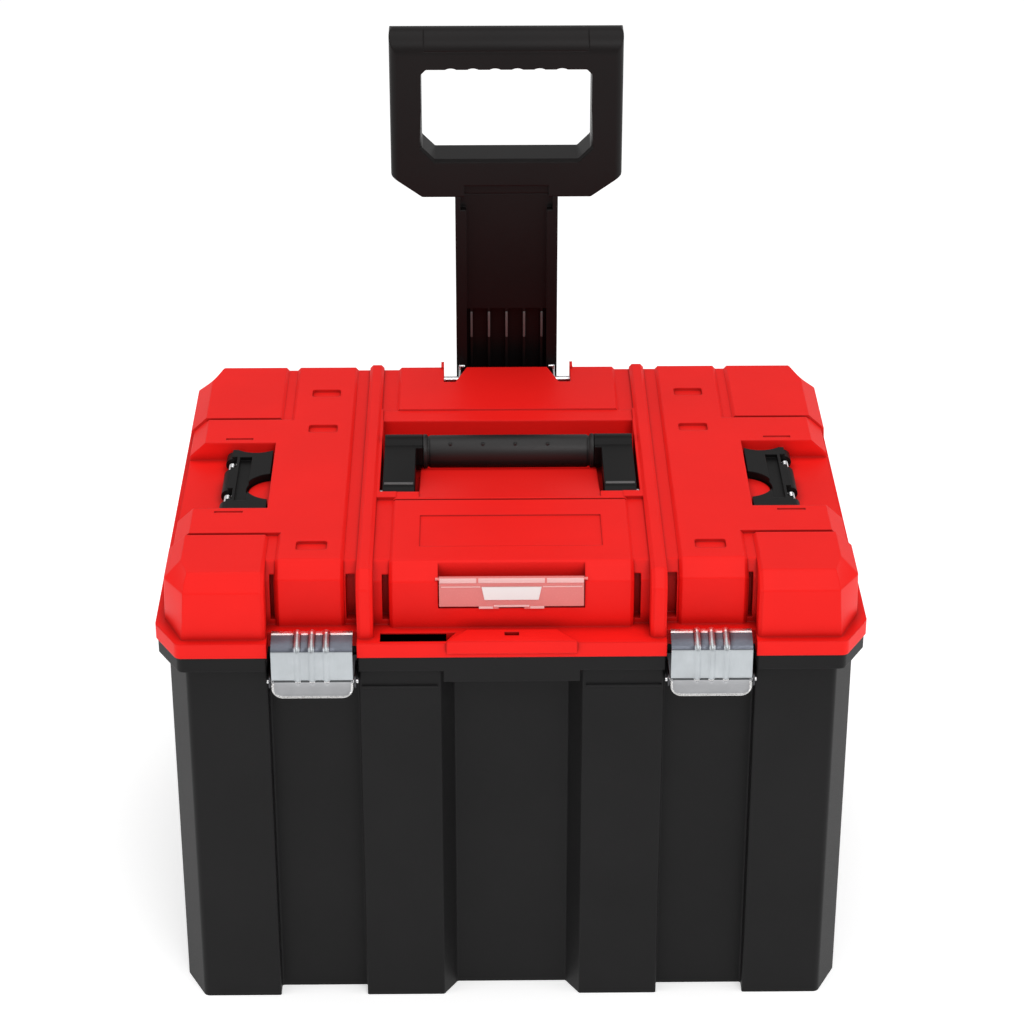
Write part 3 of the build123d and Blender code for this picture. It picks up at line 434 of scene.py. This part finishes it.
def latch_rows(build, profile, columns, centre):
    """Vertices of the plate's two faces, row by row, and which of them lie on the rim."""
    bottom = profile[-1][1]
    outer, inner, rims = [], [], []
    for i, (y, z, zone) in enumerate(profile):
        y_back, z_back, _ = profile[max(i - 1, 0)]
        y_next, z_next, _ = profile[min(i + 1, len(profile) - 1)]
        along = Vector((0, y_next - y_back, z_next - z_back)).normalized()
        normal = Vector((0, along.z, -along.y))
        outer_row, inner_row, rim_row = [], [], []
        for x in columns:
            height = z
            lift = rib_height(x, zone, z)
            on_rim = False
            if zone == "lip":
                edge = lip_bottom(x, bottom)
                height = LIP_TOP + (edge - LIP_TOP) * (LIP_TOP - z) / (LIP_TOP - bottom)
                inward = min(height - edge, LATCH_HALF - abs(x))
                on_rim = inward < 1.7
                if inward < RIM_WIDTH:
                    lift += RIM_HEIGHT * (1 - (inward / RIM_WIDTH) ** 2)
            here = centre + Vector((x, y, height))
            outer_row.append(build.verts.new(here + normal * lift))
            inner_row.append(build.verts.new(here + normal * (lift - SHEET)))
            rim_row.append(on_rim)
        outer.append(outer_row)
        inner.append(inner_row)
        rims.append(rim_row)
    return outer, inner, rims


def zone_at(zone, x, on_rim):
    """Material zone of one patch of the plate's outer face; the rims, and the ribs where they cross
    the top edge and the bend, take the edge zone's painted highlight.
    """
    on_rib = min(abs(x - rib) for rib in RIBS) < 2.0
    if on_rim or (on_rib and zone in ("edge", "bend")):
        return "edge"
    if on_rib and zone == "band":
        return "face"
    return zone


def skin_latch(build, profile, columns, outer, inner, rims):
    """Faces over the plate's two sides and all round its edge."""
    rows, cols = len(profile), len(columns)
    for i in range(rows - 1):
        for j in range(cols - 1):
            front = build.faces.new((
                outer[i][j], outer[i][j + 1], outer[i + 1][j + 1], outer[i + 1][j],
            ))
            back = build.faces.new((
                inner[i][j], inner[i + 1][j], inner[i + 1][j + 1], inner[i][j + 1],
            ))
            x = (columns[j] + columns[j + 1]) / 2
            zone = zone_at(profile[i][2], x, rims[i][j] and rims[i][j + 1])
            front.material_index = ZONES.index(zone)
            back.material_index = ZONES.index("lip")
    borders = []
    for j in range(cols - 1):
        borders.append((outer[0][j], inner[0][j], inner[0][j + 1], outer[0][j + 1]))
        borders.append((outer[-1][j], outer[-1][j + 1], inner[-1][j + 1], inner[-1][j]))
    for i in range(rows - 1):
        borders.append((outer[i][0], outer[i + 1][0], inner[i + 1][0], inner[i][0]))
        borders.append((outer[i][-1], inner[i][-1], inner[i + 1][-1], outer[i + 1][-1]))
    # The cut edges all round take the edge zone's painted highlight.
    for border in borders:
        build.faces.new(border).material_index = ZONES.index("edge")


def add_ear(build, centre, end):
    """Ring round the pivot pin at one end of the latch; end is -1 or 1."""
    pin = centre + Vector((0, PIN_Y, PIN_Z))
    across, upward = Vector((0, 1, 0)), Vector((0, 0, 1))
    rings = []
    for x, radius in (
        (LATCH_HALF - 0.1, EAR_RADIUS), (LATCH_HALF - 0.1, PIN_HOLE),
        (LATCH_HALF - 1.5, PIN_HOLE), (LATCH_HALF - 1.5, EAR_RADIUS),
    ):
        spot = pin + Vector((end * x, 0, 0))
        rings.append(ring_of_verts(build, spot, across, upward, radius, 24))
    for first, second in zip(rings, rings[1:] + rings[:1]):
        bridge(build, first, second, ZONES.index("lip"))


def make_latch(side_name):
    """One stamped latch, in place of its plain CAD plate."""
    node = "latch_" + side_name
    centre = Vector((middle(node).x, 0, 0))
    profile = split_profile(LATCH_PROFILE)
    columns = latch_columns()
    build = bmesh.new()
    outer, inner, rims = latch_rows(build, profile, columns, centre)
    skin_latch(build, profile, columns, outer, inner, rims)
    for end in (-1, 1):
        add_ear(build, centre, end)
    piece = new_piece("stamped_latch_" + side_name, build, node, LATCH_MATERIALS, 50.0)
    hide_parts(node)


make_latch("left")
make_latch("right")


# ---- torsion springs of the stacking latches ----------------------------------------

SPRING_X, SPRING_Z = 207.5, 349.5
SPRING_Y = (-43.0, 8.0)
COIL_HALF = 7.2
COIL_RADIUS = 2.15
COIL_TURNS = 15
STEPS_PER_TURN = 16
COIL_WIRE = 0.42
LEG_REACH, LEG_RISE = 3.2, 1.6


def spring_path(side, y):
    """Line of one spring's wire: a short leg, the coil and the other leg."""
    axis = Vector((side * SPRING_X, y, SPRING_Z))
    path = [axis + Vector((-side * LEG_REACH, -COIL_HALF, LEG_RISE))]
    last = COIL_TURNS * STEPS_PER_TURN
    for k in range(last + 1):
        angle = math.pi - 2 * math.pi * k / STEPS_PER_TURN
        along = -COIL_HALF + 2 * COIL_HALF * k / last
        around = Vector((side * math.cos(angle) * COIL_RADIUS, along, math.sin(angle) * COIL_RADIUS))
        path.append(axis + around)
    path.append(axis + Vector((-side * LEG_REACH, COIL_HALF, LEG_RISE)))
    return path


def make_springs():
    """Wound springs on the stacking latches' pins."""
    build = bmesh.new()
    for side in (-1, 1):
        for y in SPRING_Y:
            tube(build, spring_path(side, y), COIL_WIRE, 8)
    piece = new_piece("stacking_springs", build, "lid", [STEEL], 60.0)
    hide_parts("side_latch_springs")


make_springs()


# ---- label cover details ------------------------------------------------------------

def make_label_trim():
    """Beads and feet moulded on the clear cover."""
    build = bmesh.new()
    for x0, x1 in ((-50.6, -24.6), (-23.4, 23.4), (24.6, 50.6)):
        rounded_box(build, (x0, -163.0, 346.6), (x1, -161.4, 350.4), 0.6)
    for x0, x1 in ((-49.5, -21.8), (21.8, 49.5)):
        rounded_box(build, (x0, -162.9, 343.2), (x1, -162.1, 344.1), 0.3)
    rounded_box(build, (-12.5, -163.0, 327.4), (12.5, -161.9, 329.0), 0.4)
    for x in (-18.0, 18.0):
        rounded_box(build, (x - 5, -162.8, 325.9), (x + 5, -161.6, 327.8), 0.4)
    new_piece("label_cover_trim", build, "label_cover", [CLEAR_EDGE], 60.0)


make_label_trim()


# ---- carry handle sleeve ------------------------------------------------------------

PIP_ANGLE = math.radians(128)
PIP_REACH = 12.4
PIP_RADIUS = 1.3


def make_carry_grip():
    """Soft sleeve with a waist and a collar at each end, and four pips."""
    build = bmesh.new()
    axis = middle("carry_handle_grip")
    left = [
        (-64.8, 8.2), (-64.8, 12.6), (-64.3, 13.1), (-62.2, 13.1), (-61.6, 12.6), (-61.2, 11.6),
        (-60.4, 11.5), (-59.6, 12.2), (-58.6, 12.45),
    ]
    right = [(-x, radius) for x, radius in reversed(left)]
    lathe_x(build, left + [(0, 12.55)] + right, axis.y, axis.z, 72)
    for x in (-44.0, -19.5, 5.0, 29.5):
        y = axis.y + math.cos(PIP_ANGLE) * PIP_REACH
        z = axis.z + math.sin(PIP_ANGLE) * PIP_REACH
        made = bmesh.ops.create_uvsphere(build, u_segments=14, v_segments=8, radius=PIP_RADIUS)
        bmesh.ops.translate(build, vec=Vector((x, y, z)), verts=made["verts"])
    piece = new_piece("carry_grip_sleeve", build, "carry_handle", [RUBBER], 40.0)
    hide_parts("carry_handle_grip")


make_carry_grip()


# ---- painted highlights on the edges of the post's ribs -----------------------------

POST_RIBS = (-28.0, -14.0, 0.0, 14.0, 28.0)
RIB_FRONT_Y = 188.0
RIB_EDGE_LOW, RIB_EDGE_HIGH = 376.5, 398.5


def make_rib_highlights():
    """Rounded noses on the upper halves of the post's five ribs, light grey as a painted highlight.
    """
    build = bmesh.new()
    for x in POST_RIBS:
        low = (x - 0.95, RIB_FRONT_Y - 0.5, RIB_EDGE_LOW)
        high = (x + 0.95, RIB_FRONT_Y + 1.0, RIB_EDGE_HIGH)
        rounded_box(build, low, high, 0.45)
    new_piece("post_rib_highlights", build, "pull_handle", [EDGE_HIGHLIGHT], 60.0)


make_rib_highlights()


# ---- painted highlight bars on the carry handle's arms ------------------------------

def make_arm_highlight_bars():
    """Raised bars across the front ends of the carry handle's arms, light grey as a painted
    highlight.
    """
    build = bmesh.new()
    for x0, x1 in ((-92.6, -70.8), (70.8, 92.6)):
        rounded_box(build, (x0, -31.4, 356.3), (x1, -28.2, 357.6), 0.5)
    new_piece("carry_arm_highlight_bars", build, "carry_handle", [EDGE_HIGHLIGHT], 60.0)


make_arm_highlight_bars()


# ---- floor, light and camera --------------------------------------------------------

FLOOR_HALF = 9.0             # metres
FLOOR_GLOW = 0.42            # keeps the floor white
WORLD_LIGHT = 0.45
LENS, SENSOR = 104.4, 36.0
CAMERA_PLACE = (-0.0208, -1.977, 1.3585)
CAMERA_TILT, CAMERA_TURN = math.radians(62.225), math.radians(-0.666)


def make_floor():
    """White floor that isn't part of the object."""
    mesh = bpy.data.meshes.new("floor")
    build = bmesh.new()
    corners = [(x * FLOOR_HALF, y * FLOOR_HALF, 0) for x, y in ((-1, -1), (1, -1), (1, 1), (-1, 1))]
    build.faces.new([build.verts.new(corner) for corner in corners])
    build.to_mesh(mesh)
    build.free()
    floor = bpy.data.objects.new("floor", mesh)
    bpy.context.scene.collection.objects.link(floor)
    material, shader = new_material("floor", (0.93, 0.93, 0.93), 0.9)
    cloud = object_noise(material, 2.0)
    tinted(material, shader, cloud, (0.91, 0.91, 0.91), (0.94, 0.94, 0.94))
    shader.inputs["Emission Color"].default_value = (1.0, 1.0, 1.0, 1.0)
    shader.inputs["Emission Strength"].default_value = FLOOR_GLOW
    mesh.materials.append(material)


def area_light(name, place, aim, size, power):
    """Square lamp at a place, turned towards a point."""
    data = bpy.data.lights.new(name, "AREA")
    data.energy = power
    data.size = size
    lamp = bpy.data.objects.new(name, data)
    bpy.context.scene.collection.objects.link(lamp)
    lamp.location = place
    lamp.rotation_euler = (Vector(aim) - Vector(place)).to_track_quat("-Z", "Y").to_euler()


def make_world():
    """Even white light from all round."""
    world = bpy.data.worlds.new("studio")
    bpy.context.scene.world = world
    world.use_nodes = True
    background = world.node_tree.nodes["Background"]
    background.inputs["Color"].default_value = (1.0, 1.0, 1.0, 1.0)
    background.inputs["Strength"].default_value = WORLD_LIGHT


def make_camera():
    """Camera in front of the box, looking down on it."""
    data = bpy.data.cameras.new("camera")
    data.lens = LENS
    data.sensor_width = SENSOR
    camera = bpy.data.objects.new("camera", data)
    camera.location = CAMERA_PLACE
    camera.rotation_euler = (CAMERA_TILT, 0.0, CAMERA_TURN)
    bpy.context.scene.collection.objects.link(camera)
    bpy.context.scene.camera = camera


make_floor()
make_world()
area_light("key", (0.6, -2.0, 2.6), (0.0, 0.0, 0.25), 1.6, 28.0)
area_light("top", (-0.2, 0.15, 2.85), (0.0, 0.2, 0.3), 2.4, 23.0)
area_light("left", (-2.4, -0.8, 1.2), (0.0, 0.0, 0.25), 1.2, 9.0)
area_light("right", (2.4, -0.6, 1.2), (0.0, 0.0, 0.25), 1.2, 9.0)
make_camera()
bpy.context.scene.view_settings.view_transform = "Standard"
